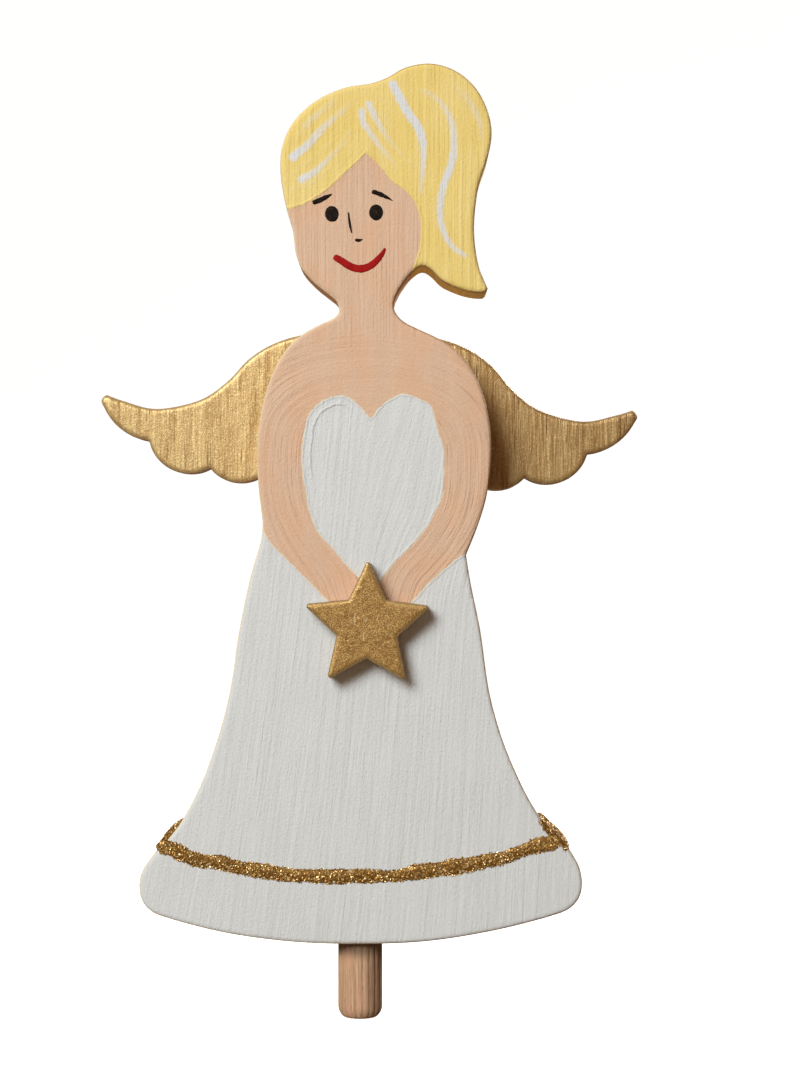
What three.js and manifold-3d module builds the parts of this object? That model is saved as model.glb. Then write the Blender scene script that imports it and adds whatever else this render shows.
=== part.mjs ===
// A flat angel figurine on a peg: five glued pieces, sawn from board and painted by hand.
//
// Millimetres, +Z up, front towards -Y. The origin is on the peg's axis, level with the lowest
// point of the hem and halfway through the thickness of the body board.

import * as THREE from "three";
import { mergeVertices } from "three/addons/utils/BufferGeometryUtils.js";
import Module from "manifold-3d";

// ---------- driving dimensions ----------

const BODY_THICKNESS = 12;
const WINGS_THICKNESS = 6;
const STAR_THICKNESS = 4.5;
const SANDED_EDGE = 0.6; // the small round-over that sanding leaves along every sawn edge

const PEG_DIAMETER = 8;
const PEG_LENGTH = 30;
const PEG_EXPOSED = 14;
const PEG_CHAMFER = 1.3; // radial; the cone at each end of the peg
const PEG_CHAMFER_LENGTH = 1.7;
const PEG_FLUTES = 20;
const PEG_FLUTE_DEPTH = 0.3;
const BORE_DIAMETER = 8.2;

const WINGS_CENTRE = { x: 1.4, z: 90.5 };
const WINGS_TILT = THREE.MathUtils.degToRad(1.7); // glued on slightly turned, left tip higher

const STAR_CENTRE = { x: 1.4, z: 57.2 };
const STAR_TILT = THREE.MathUtils.degToRad(0.8);
const STAR_RADIUS = 11.3;
const STAR_INNER_RADIUS = 5.7;
const STAR_TIP_WIDTH = 0.6; // each point is sanded to a narrow flat
const STAR_SANDED_EDGE = 0.3;

const BAND_WIDTH = 2.4;
const BAND_HEIGHT = 0.7; // how far the glitter glue stands off the wood
const BAND_GAP = 0.1; // between the glue and the sawn side of the board
const BAND_SIDE_BOTTOM = 16.9; // on the sides of the board the glue is spread taller
const BAND_SIDE_TOP = 22.6;

const FRONT = -BODY_THICKNESS / 2;
const BACK = BODY_THICKNESS / 2;
const PEG_BOTTOM = -PEG_EXPOSED;
const PEG_TOP = PEG_LENGTH - PEG_EXPOSED;

// ---------- outlines, seen from the front: x to the right, z up ----------

// Head and ponytail: from the blunt tip of the ponytail over the crown to the left of the neck.
const HAIR_AND_CHEEK = [
  [23.0, 117.6], [22.4, 119.0], [21.4, 121.6], [20.7, 125.6], [20.6, 130.2], [21.4, 136.2],
  [23.0, 141.2], [23.7, 145.6], [22.9, 149.8], [20.7, 153.8], [17.2, 156.7], [12.8, 158.0],
  [8.3, 157.3], [5.0, 155.5], [1.8, 154.4], [-2.6, 153.7], [-7.6, 151.5], [-11.7, 147.8],
  [-13.9, 143.2], [-14.2, 138.2], [-13.3, 132.6], [-12.0, 128.0], [-11.5, 124.2],
  [-10.4, 121.2], [-8.2, 118.7], [-5.9, 116.8], [-4.2, 115.4], [-3.7, 114.1],
];

// Left shoulder and arm down to the waist.
const LEFT_ARM = [
  [-3.7, 114.1], [-3.9, 113.0], [-5.0, 112.1], [-7.6, 110.9], [-10.8, 109.0], [-13.3, 106.5],
  [-15.6, 102.4], [-17.2, 97.6], [-18.1, 92.4], [-18.4, 87.0], [-18.1, 81.6], [-17.4, 76.0],
];

// Left flank of the skirt, the rounded hem and the right flank up to the waist.
const SKIRT = [
  [-17.4, 76.0], [-17.7, 72.4], [-19.7, 65.4], [-21.8, 55.0], [-22.9, 47.2], [-24.9, 38.8],
  [-28.1, 29.6], [-31.5, 22.8], [-34.3, 18.9], [-37.5, 15.4], [-39.3, 12.4], [-39.4, 8.8],
  [-37.9, 6.3], [-34.6, 4.7], [-24.0, 2.0], [-12.0, 0.4], [0, 0], [12.0, 0.5], [24.0, 2.4],
  [34.6, 5.1], [38.2, 6.8], [39.8, 9.6], [39.5, 13.6], [37.2, 17.4], [33.7, 20.8],
  [30.9, 25.0], [28.2, 30.4], [25.4, 37.4], [23.2, 45.6], [21.7, 56.0], [20.0, 64.4],
  [19.1, 69.8],
];

// Right arm and shoulder up to the neck.
const RIGHT_ARM = [
  [19.1, 69.8], [21.1, 74.8], [22.6, 79.6], [23.4, 84.6], [23.6, 89.6], [23.2, 94.2],
  [22.2, 98.6], [20.3, 102.8], [17.6, 106.2], [14.4, 108.5], [10.8, 110.2], [8.2, 111.5],
  [6.7, 112.9], [6.1, 114.4], [6.4, 116.0],
];

// Right of the neck, up into the notch under the ponytail and out to its tip.
const UNDER_HAIR = [
  [6.4, 116.0], [7.4, 117.9], [9.2, 120.3], [11.2, 121.6], [12.9, 120.8], [14.9, 118.9],
  [18.0, 117.5], [20.4, 116.9], [22.3, 116.8],
];

// Top edge of the wings from the middle to the right tip, about the wings' own centre.
const WING_TOP = [
  [0, 18.4], [7.0, 20.0], [13.1, 19.3], [18.4, 17.4], [22.6, 14.5], [26.3, 10.4], [31.4, 6.8],
  [39.2, 5.0], [45.4, 6.3], [48.4, 7.3],
];

// The wings' lower edge: each feather is an arc to the next notch, so far below its chord.
const WING_TIP_END = [49.4, 6.3];
const WING_FEATHERS = [
  { notch: [40.4, -1.0], bulge: 1.7 },
  { notch: [29.0, -5.7], bulge: 3.1 },
  { notch: [18.2, -5.7], bulge: 2.5 },
];
const WING_MIDDLE_BULGE = 3;

// Middle of the glitter band across the skirt.
const BAND_LINE = [
  [-45, 17.6], [-34.9, 17.5], [-31.2, 15.9], [-25.8, 14.8], [-17.5, 13.6], [-7.5, 12.1],
  [1.0, 12.0], [8.4, 12.4], [17.4, 13.7], [26.2, 15.6], [32.2, 17.8], [36.0, 17.3], [45, 17.3],
];

// ---------- helpers ----------

const vectors = (pairs) => pairs.map(([x, y]) => new THREE.Vector2(x, y));

function smoothRun(pairs, pointsPerSpan) {
  const curve = new THREE.SplineCurve(vectors(pairs));
  return curve.getPoints(pointsPerSpan * (pairs.length - 1));
}

// Joins runs end to start into one closed outline, leaving out points that repeat.
function closedOutline(runs) {
  const points = runs.flat();
  return points.filter((p, i) => p.distanceTo(points[(i + 1) % points.length]) > 1e-6);
}

// Points of the arc from a to b that bulges to the right of the way from a to b.
function arcPoints(a, b, bulge, steps) {
  const half = a.distanceTo(b) / 2;
  const radius = (half * half + bulge * bulge) / (2 * bulge);
  const along = b.clone().sub(a).normalize();
  const right = new THREE.Vector2(along.y, -along.x);
  const centre = a.clone().add(b).multiplyScalar(0.5).addScaledVector(right, bulge - radius);
  const halfAngle = Math.asin(half / radius);
  const points = [];
  for (let i = 0; i <= steps; i += 1) {
    const angle = -halfAngle + (2 * halfAngle * i) / steps;
    points.push(
      centre
        .clone()
        .addScaledVector(right, radius * Math.cos(angle))
        .addScaledVector(along, radius * Math.sin(angle)),
    );
  }
  return points;
}

// A board sawn to an outline, standing up: its front face at y = front, thickness towards +Y.
function sawnBoard(outline, front, thickness, sanded) {
  const geometry = new THREE.ExtrudeGeometry(new THREE.Shape(outline), {
    depth: thickness - 2 * sanded,
    bevelEnabled: sanded > 0,
    bevelThickness: sanded,
    bevelSize: sanded,
    bevelOffset: -sanded,
    bevelSegments: 2,
  });
  geometry.rotateX(Math.PI / 2);
  geometry.translate(0, front + thickness - sanded, 0);
  return welded(geometry);
}

function welded(geometry) {
  geometry.deleteAttribute("normal");
  geometry.deleteAttribute("uv");
  return mergeVertices(geometry, 1e-4);
}

function pieceMesh(name, geometry, color, roughness, metalness) {
  const faceted = geometry.toNonIndexed();
  faceted.computeVertexNormals();
  const mesh = new THREE.Mesh(
    faceted,
    new THREE.MeshStandardMaterial({ color, roughness, metalness }),
  );
  mesh.name = name;
  return mesh;
}

// ---------- joining and cutting ----------

const manifoldModule = await Module();
manifoldModule.setup();

function toSolid(geometry) {
  const mesh = new manifoldModule.Mesh({
    numProp: 3,
    vertProperties: new Float32Array(geometry.attributes.position.array),
    triVerts: new Uint32Array(geometry.index.array),
  });
  return new manifoldModule.Manifold(mesh);
}

function toGeometry(solid) {
  const { vertProperties, triVerts } = solid.getMesh();
  const geometry = new THREE.BufferGeometry();
  geometry.setAttribute("position", new THREE.BufferAttribute(vertProperties, 3));
  geometry.setIndex(new THREE.BufferAttribute(triVerts, 1));
  return geometry;
}

// ---------- body board ----------

const bodyOutline = closedOutline(
  [HAIR_AND_CHEEK, LEFT_ARM, SKIRT, RIGHT_ARM, UNDER_HAIR].map((run) => smoothRun(run, 3)),
);

function bodyBoard() {
  const board = toSolid(sawnBoard(bodyOutline, FRONT, BODY_THICKNESS, SANDED_EDGE));
  const boreMouth = -BODY_THICKNESS; // the drill starts below the hem
  const drill = new THREE.CylinderGeometry(
    BORE_DIAMETER / 2, BORE_DIAMETER / 2, PEG_TOP - boreMouth, 40,
  );
  drill.rotateX(Math.PI / 2);
  drill.translate(0, 0, (PEG_TOP + boreMouth) / 2);
  const drilled = board.subtract(toSolid(welded(drill)));
  return pieceMesh("body_board", toGeometry(drilled), 0xd5d5d1, 0.6, 0);
}

// ---------- wings board ----------

function wingsBoard() {
  const mirrored = (points) => points.map((p) => new THREE.Vector2(-p.x, p.y)).reverse();
  const top = smoothRun(WING_TOP, 4);
  const lower = [];
  let from = new THREE.Vector2(...WING_TIP_END);
  for (const { notch, bulge } of WING_FEATHERS) {
    const to = new THREE.Vector2(...notch);
    lower.push(...arcPoints(to, from, bulge, 8).reverse().slice(0, -1));
    from = to;
  }
  lower.push(from);
  const middle = arcPoints(mirrored([from])[0], from, WING_MIDDLE_BULGE, 10).slice(1, -1);
  // Clockwise from the middle of the top edge, then turned round for the extrusion.
  const outline = [
    ...top, ...lower, ...middle.reverse(), ...mirrored(lower), ...mirrored(top).slice(0, -1),
  ].reverse();
  const geometry = sawnBoard(outline, BACK, WINGS_THICKNESS, SANDED_EDGE);
  const mesh = pieceMesh("wings_board", geometry, 0xb8904e, 0.45, 0.5);
  mesh.rotation.y = WINGS_TILT;
  mesh.position.set(WINGS_CENTRE.x, 0, WINGS_CENTRE.z);
  return mesh;
}

// ---------- star ----------

function star() {
  const outline = [];
  for (let point = 0; point < 5; point += 1) {
    const tipAngle = Math.PI / 2 + (point * 2 * Math.PI) / 5;
    const tip = new THREE.Vector2(Math.cos(tipAngle), Math.sin(tipAngle));
    const side = new THREE.Vector2(-tip.y, tip.x);
    for (const share of [-0.5, 0.5]) {
      const corner = tip.clone().multiplyScalar(STAR_RADIUS);
      outline.push(corner.addScaledVector(side, share * STAR_TIP_WIDTH));
    }
    const notchAngle = tipAngle + Math.PI / 5;
    outline.push(
      new THREE.Vector2(Math.cos(notchAngle), Math.sin(notchAngle))
        .multiplyScalar(STAR_INNER_RADIUS),
    );
  }
  const geometry = sawnBoard(
    outline, FRONT - STAR_THICKNESS, STAR_THICKNESS, STAR_SANDED_EDGE,
  );
  const mesh = pieceMesh("star", geometry, 0xa87c3a, 0.4, 0.6);
  mesh.rotation.y = STAR_TILT;
  mesh.position.set(STAR_CENTRE.x, 0, STAR_CENTRE.z);
  return mesh;
}

// ---------- dowel peg ----------

function dowelPeg() {
  const radius = PEG_DIAMETER / 2;
  const profile = vectors([
    [0, PEG_BOTTOM],
    [radius - PEG_CHAMFER, PEG_BOTTOM],
    [radius, PEG_BOTTOM + PEG_CHAMFER_LENGTH],
    [radius, PEG_TOP - PEG_CHAMFER_LENGTH],
    [radius - PEG_CHAMFER, PEG_TOP],
    [0, PEG_TOP],
  ]);
  const geometry = new THREE.LatheGeometry(profile, PEG_FLUTES * 4);
  geometry.rotateX(Math.PI / 2);
  geometry.rotateZ(Math.PI);
  const position = geometry.attributes.position;
  for (let i = 0; i < position.count; i += 1) {
    const x = position.getX(i);
    const y = position.getY(i);
    const onWall = Math.hypot(x, y) > radius - PEG_CHAMFER / 2;
    if (onWall) {
      const groove = (1 - Math.cos(PEG_FLUTES * Math.atan2(y, x))) / 2;
      const scale = 1 - (PEG_FLUTE_DEPTH * groove) / radius;
      position.setXY(i, x * scale, y * scale);
    }
  }
  return pieceMesh("dowel_peg", welded(geometry), 0xb08a62, 0.75, 0);
}

// ---------- glitter band ----------

// Moves every point of an open run outwards; the run goes round the skirt with the wood on
// its left.
function movedOutwards(run, distance) {
  return run.map((point, i) => {
    const before = run[Math.max(i - 1, 0)];
    const after = run[Math.min(i + 1, run.length - 1)];
    const along = after.clone().sub(before).normalize();
    return point.clone().add(new THREE.Vector2(along.y, -along.x).multiplyScalar(distance));
  });
}

function glitterBand() {
  const lowerSkirt = bodyOutline.filter((p) => p.y < BAND_SIDE_TOP + 12);
  const prism = (outline, halfDepth) => toSolid(
    sawnBoard(outline, -halfDepth, 2 * halfDepth, 0),
  );
  const outer = movedOutwards(lowerSkirt, BAND_HEIGHT);
  const inner = movedOutwards(lowerSkirt, BAND_GAP);
  const half = BODY_THICKNESS / 2;

  const line = smoothRun(BAND_LINE, 2);
  const upper = line.map((p) => new THREE.Vector2(p.x, p.y + BAND_WIDTH / 2));
  const lower = line.map((p) => new THREE.Vector2(p.x, p.y - BAND_WIDTH / 2));
  const strip = prism([...lower, ...upper.reverse()], half + 2 * BAND_HEIGHT);
  const acrossFaces = prism(outer, half + BAND_HEIGHT).intersect(strip);

  const edge = BAND_LINE[0][0];
  const sideStrip = prism(
    vectors([
      [edge, BAND_SIDE_BOTTOM], [-edge, BAND_SIDE_BOTTOM],
      [-edge, BAND_SIDE_TOP], [edge, BAND_SIDE_TOP],
    ]),
    half + BAND_HEIGHT,
  );
  const core = prism(inner, half + 2 * BAND_HEIGHT);
  const onSides = prism(outer, half + BAND_HEIGHT / 2).intersect(sideStrip).subtract(core);

  const ring = acrossFaces.subtract(prism(inner, half)).add(onSides);
  return pieceMesh("glitter_band", toGeometry(ring), 0xb5853a, 0.35, 0.8);
}

// ---------- the figurine ----------

const figurine = new THREE.Group();
figurine.add(bodyBoard(), wingsBoard(), star(), dowelPeg(), glitterBand());

export default figurine;
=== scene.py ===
"""Looks of the painted wooden angel on its peg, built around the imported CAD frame.

Lengths are in millimetres, x to the right and z up as seen from the front, until a mesh is
made; MM turns them into metres there. The front faces -Y.
"""

import math

import bpy
import numpy as np
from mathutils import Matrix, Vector, geometry, kdtree


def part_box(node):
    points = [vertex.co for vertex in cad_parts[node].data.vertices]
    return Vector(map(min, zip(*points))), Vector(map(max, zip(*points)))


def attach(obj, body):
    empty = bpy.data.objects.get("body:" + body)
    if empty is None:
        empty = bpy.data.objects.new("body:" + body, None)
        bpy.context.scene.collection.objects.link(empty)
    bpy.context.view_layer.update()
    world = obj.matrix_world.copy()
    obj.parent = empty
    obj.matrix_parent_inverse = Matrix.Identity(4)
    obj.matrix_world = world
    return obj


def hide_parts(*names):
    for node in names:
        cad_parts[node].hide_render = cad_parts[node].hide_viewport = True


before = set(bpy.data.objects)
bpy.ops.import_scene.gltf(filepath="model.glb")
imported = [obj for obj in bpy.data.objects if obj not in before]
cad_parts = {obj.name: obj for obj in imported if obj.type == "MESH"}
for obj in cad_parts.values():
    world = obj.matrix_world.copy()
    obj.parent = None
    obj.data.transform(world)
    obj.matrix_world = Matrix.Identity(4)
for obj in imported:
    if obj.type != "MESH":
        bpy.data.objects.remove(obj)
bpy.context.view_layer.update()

MM = 0.001
TO_MM = 1000.0

# ---------- camera, which looks straight at the front of the body board ----------

IMAGE_HEIGHT_MM = 193.55  # what the picture's height covers at the front of the board
CAMERA_DISTANCE = 445.0
CAMERA_X = 8.05
CAMERA_Z = 72.5
SENSOR = 36.0


def camera():
    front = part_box("body_board")[0].y * TO_MM
    data = bpy.data.cameras.new("camera")
    data.sensor_width = SENSOR
    data.lens = SENSOR * CAMERA_DISTANCE / IMAGE_HEIGHT_MM
    data.clip_start = 0.01
    shown = bpy.data.objects.new("camera", data)
    shown.location = (CAMERA_X * MM, (front - CAMERA_DISTANCE) * MM, CAMERA_Z * MM)
    shown.rotation_euler = (math.pi / 2, 0, 0)
    bpy.context.scene.collection.objects.link(shown)
    bpy.context.scene.camera = shown


# ---------- noise and curves ----------

BATCH = 4096  # points tested against an outline at a time


def hashed(i, j, seed):
    """Repeatable numbers from -1 to 1 on a whole-number lattice, from large odd multipliers."""
    h = (i.astype(np.int64) * 374761393 + j.astype(np.int64) * 668265263 + seed * 974634777)
    h = (h ^ (h >> 13)) * 1274126177
    h = (h ^ (h >> 16)) & 0xFFFFFF
    return h / 0x7FFFFF - 1.0


def noise(u, v, seed):
    """Smooth noise from -1 to 1 with features about one unit across."""
    i, j = np.floor(u), np.floor(v)
    a, b = u - i, v - j
    a, b = a * a * (3 - 2 * a), b * b * (3 - 2 * b)
    low = hashed(i, j, seed) * (1 - a) + hashed(i + 1, j, seed) * a
    high = hashed(i, j + 1, seed) * (1 - a) + hashed(i + 1, j + 1, seed) * a
    return low * (1 - b) + high * b


def rough_noise(u, v, seed, octaves=3):
    total = sum(noise(u * 2**k, v * 2**k, seed + 17 * k) / 2**k for k in range(octaves))
    return total / (2 - 2 ** (1 - octaves))


def smoothstep(low, high, value):
    t = np.clip((value - low) / (high - low), 0, 1)
    return t * t * (3 - 2 * t)


def unit(vectors):
    return vectors / np.linalg.norm(vectors, axis=1)[:, None]


def raised(flat, y):
    """(x, y, z) points from (x, z) ones."""
    return np.stack(np.broadcast_arrays(flat[..., 0], y, flat[..., 1]), -1)


LINE_STEP = 0.4


def through(points, step=LINE_STEP, closed=False):
    """A smooth curve through given points, cut into steps of about this length."""
    p = np.array(points, float)
    count = len(p)
    if closed:
        tangent = np.roll(p, -1, 0) - np.roll(p, 1, 0)
    else:
        tangent = np.gradient(p, axis=0) * 2
    tangent = unit(tangent)
    return hermite(p, tangent, tangent, step, count if closed else count - 1)


def hermite(p, leaving, arriving, step, spans):
    """Cubic spans between the points; each span starts along leaving and ends along arriving."""
    out = []
    for i in range(spans):
        j = (i + 1) % len(p)
        length = np.linalg.norm(p[j] - p[i])
        n = max(1, round(length / step))
        t = (np.arange(n) / n)[:, None]
        out.append(
            (2 * t**3 - 3 * t**2 + 1) * p[i]
            + (t**3 - 2 * t**2 + t) * length * leaving[i]
            + (3 * t**2 - 2 * t**3) * p[j]
            + (t**3 - t**2) * length * arriving[j]
        )
    if spans < len(p):
        out.append(p[-1:])
    return np.concatenate(out)


def nearest(line, points, closed=False):
    """For each point: its distance to the line, and how far along the line the foot lies."""
    tree = kdtree.KDTree(len(line))
    for i, (x, z) in enumerate(line):
        tree.insert((x, z, 0), i)
    tree.balance()
    found = np.array([tree.find((x, z, 0))[1] for x, z in points])
    spans = np.roll(line, -1, 0) - line
    along = np.concatenate([[0], np.cumsum(np.linalg.norm(spans, axis=1))[:-1]])
    distance = np.full(len(points), np.inf)
    place = np.zeros(len(points))
    for first in (found - 1, found):
        i = first % len(line) if closed else np.clip(first, 0, len(line) - 2)
        size = np.maximum(np.linalg.norm(spans[i], axis=1), 1e-9)
        rel = points - line[i]
        t = np.clip((rel * spans[i]).sum(1) / size**2, 0, 1)
        gap = np.linalg.norm(rel - t[:, None] * spans[i], axis=1)
        place = np.where(gap < distance, along[i] + t * size, place)
        distance = np.minimum(gap, distance)
    return distance, place


def inside(outline, points):
    """Whether each point lies inside a closed outline."""
    a, b = outline, np.roll(outline, -1, 0)
    found = np.zeros(len(points), bool)
    for k in range(0, len(points), BATCH):
        x, z = points[k : k + BATCH, 0:1], points[k : k + BATCH, 1:2]
        spans = (a[:, 1] > z) != (b[:, 1] > z)
        with np.errstate(divide="ignore", invalid="ignore"):
            cross = a[:, 0] + (z - a[:, 1]) * (b[:, 0] - a[:, 0]) / (b[:, 1] - a[:, 1])
        found[k : k + BATCH] = (spans & (x < cross)).sum(1) % 2 == 1
    return found


def signed(line, region, points):
    """Distance to a paint border, positive inside the painted region."""
    distance = nearest(line, points)[0]
    return np.where(inside(region, points), distance, -distance)


# ---------- outlines that come from the CAD nodes ----------

CONVEX_CORNER = math.radians(78)
NOTCH_CORNER = math.radians(28)
KEYS_PER_MM = 2000  # CAD corners that agree this finely are one point
LEVEL_TOLERANCE = 0.01


def cad_ring(node, y):
    """The closed outline of a CAD node at height y, anticlockwise seen from the front."""
    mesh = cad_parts[node].data
    co = np.empty(len(mesh.vertices) * 3)
    mesh.vertices.foreach_get("co", co)
    co = co.reshape(-1, 3) * TO_MM
    keys = [tuple(k) for k in np.round(co * KEYS_PER_MM).astype(int)]
    on = np.abs(co[:, 1] - y) < LEVEL_TOLERANCE
    links, place = {}, {}
    for edge in mesh.edges:
        i, j = edge.vertices
        if on[i] and on[j] and keys[i] != keys[j]:
            links.setdefault(keys[i], set()).add(keys[j])
            links.setdefault(keys[j], set()).add(keys[i])
            place[keys[i]], place[keys[j]] = co[i, [0, 2]], co[j, [0, 2]]
    start = min(links)
    ring, last = [start], None
    while True:
        here = ring[-1]
        step = next((k for k in sorted(links[here]) if k != last and k not in ring[1:]), start)
        if step == start:
            break
        last = here
        ring.append(step)
    points = np.array([place[k] for k in ring])
    x, z = points.T
    area = (x * np.roll(z, -1) - np.roll(x, -1) * z).sum()
    return points if area > 0 else points[::-1]


def fair_outline(ring, step, straight=False):
    """The CAD outline in fine steps: a smooth curve whose sawn notches stay sharp, or straight
    runs between its corners."""
    if straight:
        after = np.roll(ring, -1, 0)
        return np.concatenate([
            a + (b - a) * (np.arange(n) / n)[:, None]
            for a, b in zip(ring, after, strict=True)
            for n in [max(1, round(np.linalg.norm(b - a) / step))]
        ])
    before = unit(ring - np.roll(ring, 1, 0))
    after = unit(np.roll(ring, -1, 0) - ring)
    turn = np.arctan2(
        before[:, 0] * after[:, 1] - before[:, 1] * after[:, 0], (before * after).sum(1)
    )
    corner = (turn > CONVEX_CORNER) | (turn < -NOTCH_CORNER)
    middle = unit(before + after)
    leaving = np.where(corner[:, None], after, middle)
    arriving = np.where(corner[:, None], before, middle)
    return hermite(ring, leaving, arriving, step, len(ring))


def outward(outline):
    """Unit normals of a closed anticlockwise outline."""
    along = unit(np.roll(outline, -1, 0) - np.roll(outline, 1, 0))
    return np.stack([along[:, 1], -along[:, 0]], 1)


# ---------- meshes ----------


def make_mesh(name, points, faces, attributes=None, smooth=True):
    """A mesh object from points in millimetres."""
    mesh = bpy.data.meshes.new(name)
    points = np.asarray(points, float) * MM
    faces = np.asarray(faces, np.int32)
    mesh.vertices.add(len(points))
    mesh.vertices.foreach_set("co", points.ravel())
    mesh.loops.add(faces.size)
    mesh.loops.foreach_set("vertex_index", faces.ravel())
    mesh.polygons.add(len(faces))
    mesh.polygons.foreach_set("loop_start", np.arange(len(faces)) * faces.shape[1])
    mesh.polygons.foreach_set("use_smooth", np.full(len(faces), smooth))
    mesh.update(calc_edges=True)
    mesh.validate()
    for key, values in (attributes or {}).items():
        kind = "FLOAT_VECTOR" if values.ndim == 2 else "FLOAT"
        field = "vector" if values.ndim == 2 else "value"
        layer = mesh.attributes.new(key, kind, "POINT")
        layer.data.foreach_set(field, np.ascontiguousarray(values, np.float32).ravel())
    shown = bpy.data.objects.new(name, mesh)
    bpy.context.scene.collection.objects.link(shown)
    return shown


def band(upper, lower):
    """Triangles between two closed loops of point numbers."""
    next_up, next_low = np.roll(upper, -1), np.roll(lower, -1)
    return np.concatenate([
        np.stack([upper, lower, next_up], 1), np.stack([next_up, lower, next_low], 1)
    ])


RING_CLEAR = 0.97  # share of its depth that a ring's point keeps from the rest of the edge
GRID_CLEAR = 0.6  # share of the spacing between the last ring and the grid
MERGE = 1e-5


def sheet(outline, rings, spacing):
    """Triangles that fill an outline: rings of points follow its edge, a staggered grid fills the
    rest. The outline's own points come first. Also gives each point's distance to the edge."""
    normal = outward(outline)
    parts = [outline]
    for depth in rings[1:]:
        ring = outline - normal * depth
        clear = nearest(outline, ring, closed=True)[0] > depth * RING_CLEAR
        parts.append(ring[clear])
    low, high = outline.min(0), outline.max(0)
    rows = np.arange(low[1], high[1], spacing * math.sqrt(3) / 2)
    columns = np.arange(low[0], high[0], spacing)
    x, z = np.meshgrid(columns, rows)
    x = x + np.where(np.arange(len(rows)) % 2 == 0, 0, spacing / 2)[:, None]
    grid = np.stack([x.ravel(), z.ravel()], 1)
    grid = grid[inside(outline[::3], grid)]
    gap = nearest(outline, grid, closed=True)[0]
    parts.append(grid[gap > rings[-1] + GRID_CLEAR * spacing])
    points = np.concatenate(parts)
    count = len(outline)
    edges = [(i, (i + 1) % count) for i in range(count)]
    found = geometry.delaunay_2d_cdt(points.tolist(), edges, [], 1, MERGE)
    points = np.array([tuple(p) for p in found[0]])
    order = np.array([ids[0] if ids else -1 for ids in found[3]])
    triangles = np.array([tuple(f) for f in found[2]])
    place = np.argsort(order)
    back = np.empty(len(points), int)
    back[place] = np.arange(len(points))
    points, triangles = points[place], back[triangles]
    a, b, c = (points[triangles[:, k]] for k in range(3))
    cross = (b[:, 0] - a[:, 0]) * (c[:, 1] - a[:, 1]) - (b[:, 1] - a[:, 1]) * (c[:, 0] - a[:, 0])
    triangles = np.where(cross[:, None] > 0, triangles, triangles[:, ::-1])
    edge = nearest(outline, points, closed=True)[0]
    edge[:count] = 0
    return points, triangles, edge


ROUND_STEPS = 5
UNWORN = 1.0  # stands for the distance to the worn edge on the sides of a board


def round_depths(width):
    """How far in from the edge the rows of a rounded edge lie."""
    return width * (1 - np.cos(np.linspace(0, math.pi / 2, ROUND_STEPS + 1)))


def round_drop(edge, width, deep):
    """How far a rounded edge has fallen away at this distance from it."""
    t = np.clip(1 - edge / width, 0, 1)
    return deep * (1 - np.sqrt(1 - t**2))


def sawn_board(name, outline, front, back, sanded, spacing, relief, paint):
    """A board with a fine surface. sanded is the width and depth of its rounded edges. relief
    gives how far its faces stand out; paint gives the attributes for (x, y, z) points, of which
    the front face's come first."""
    width, deep = sanded
    depths = round_depths(width)
    count = len(outline)
    sheets = [sheet(outline, depths, spacing), sheet(outline, depths, 2 * spacing)]
    points, faces, sides, rims = [], [], [], []
    base = 0
    for (flat, triangles, edge), y, facing in zip(sheets, (front, back), (-1, 1), strict=True):
        out = relief(flat, facing) * smoothstep(0, 1.2 * width, edge)
        depth = y + facing * (out - round_drop(edge, width, deep))
        points.append(raised(flat, depth))
        rims.append(edge)
        faces.append((triangles if facing < 0 else triangles[:, ::-1]) + base)
        sides.append(base + np.arange(count))
        base += len(flat)
    rows = max(2, round((back - front - 2 * deep) / (2 * spacing)))
    levels = np.linspace(front + deep, back - deep, rows + 1)
    normal = outward(outline)
    along = np.arange(count) * np.linalg.norm(outline[1] - outline[0])
    loops = [sides[0]]
    for y in levels[1:-1]:
        out = side_grain(along, np.full(count, y))[:, None] * normal
        points.append(raised(outline + out, y))
        loops.append(base + np.arange(count))
        base += count
    loops.append(sides[1])
    faces += [band(upper, lower) for upper, lower in zip(loops[:-1], loops[1:], strict=True)]
    points = np.concatenate(points)
    sizes = [len(rim) for rim in rims]
    sizes.append(len(points) - sum(sizes))
    parts = np.repeat([-1, 1, 0], sizes)
    rims.append(np.full(sizes[-1], UNWORN))
    fields = paint(points, parts) | {"rim": np.concatenate(rims)}
    return make_mesh(name, points, np.concatenate(faces), fields)


# ---------- material graphs ----------


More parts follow.
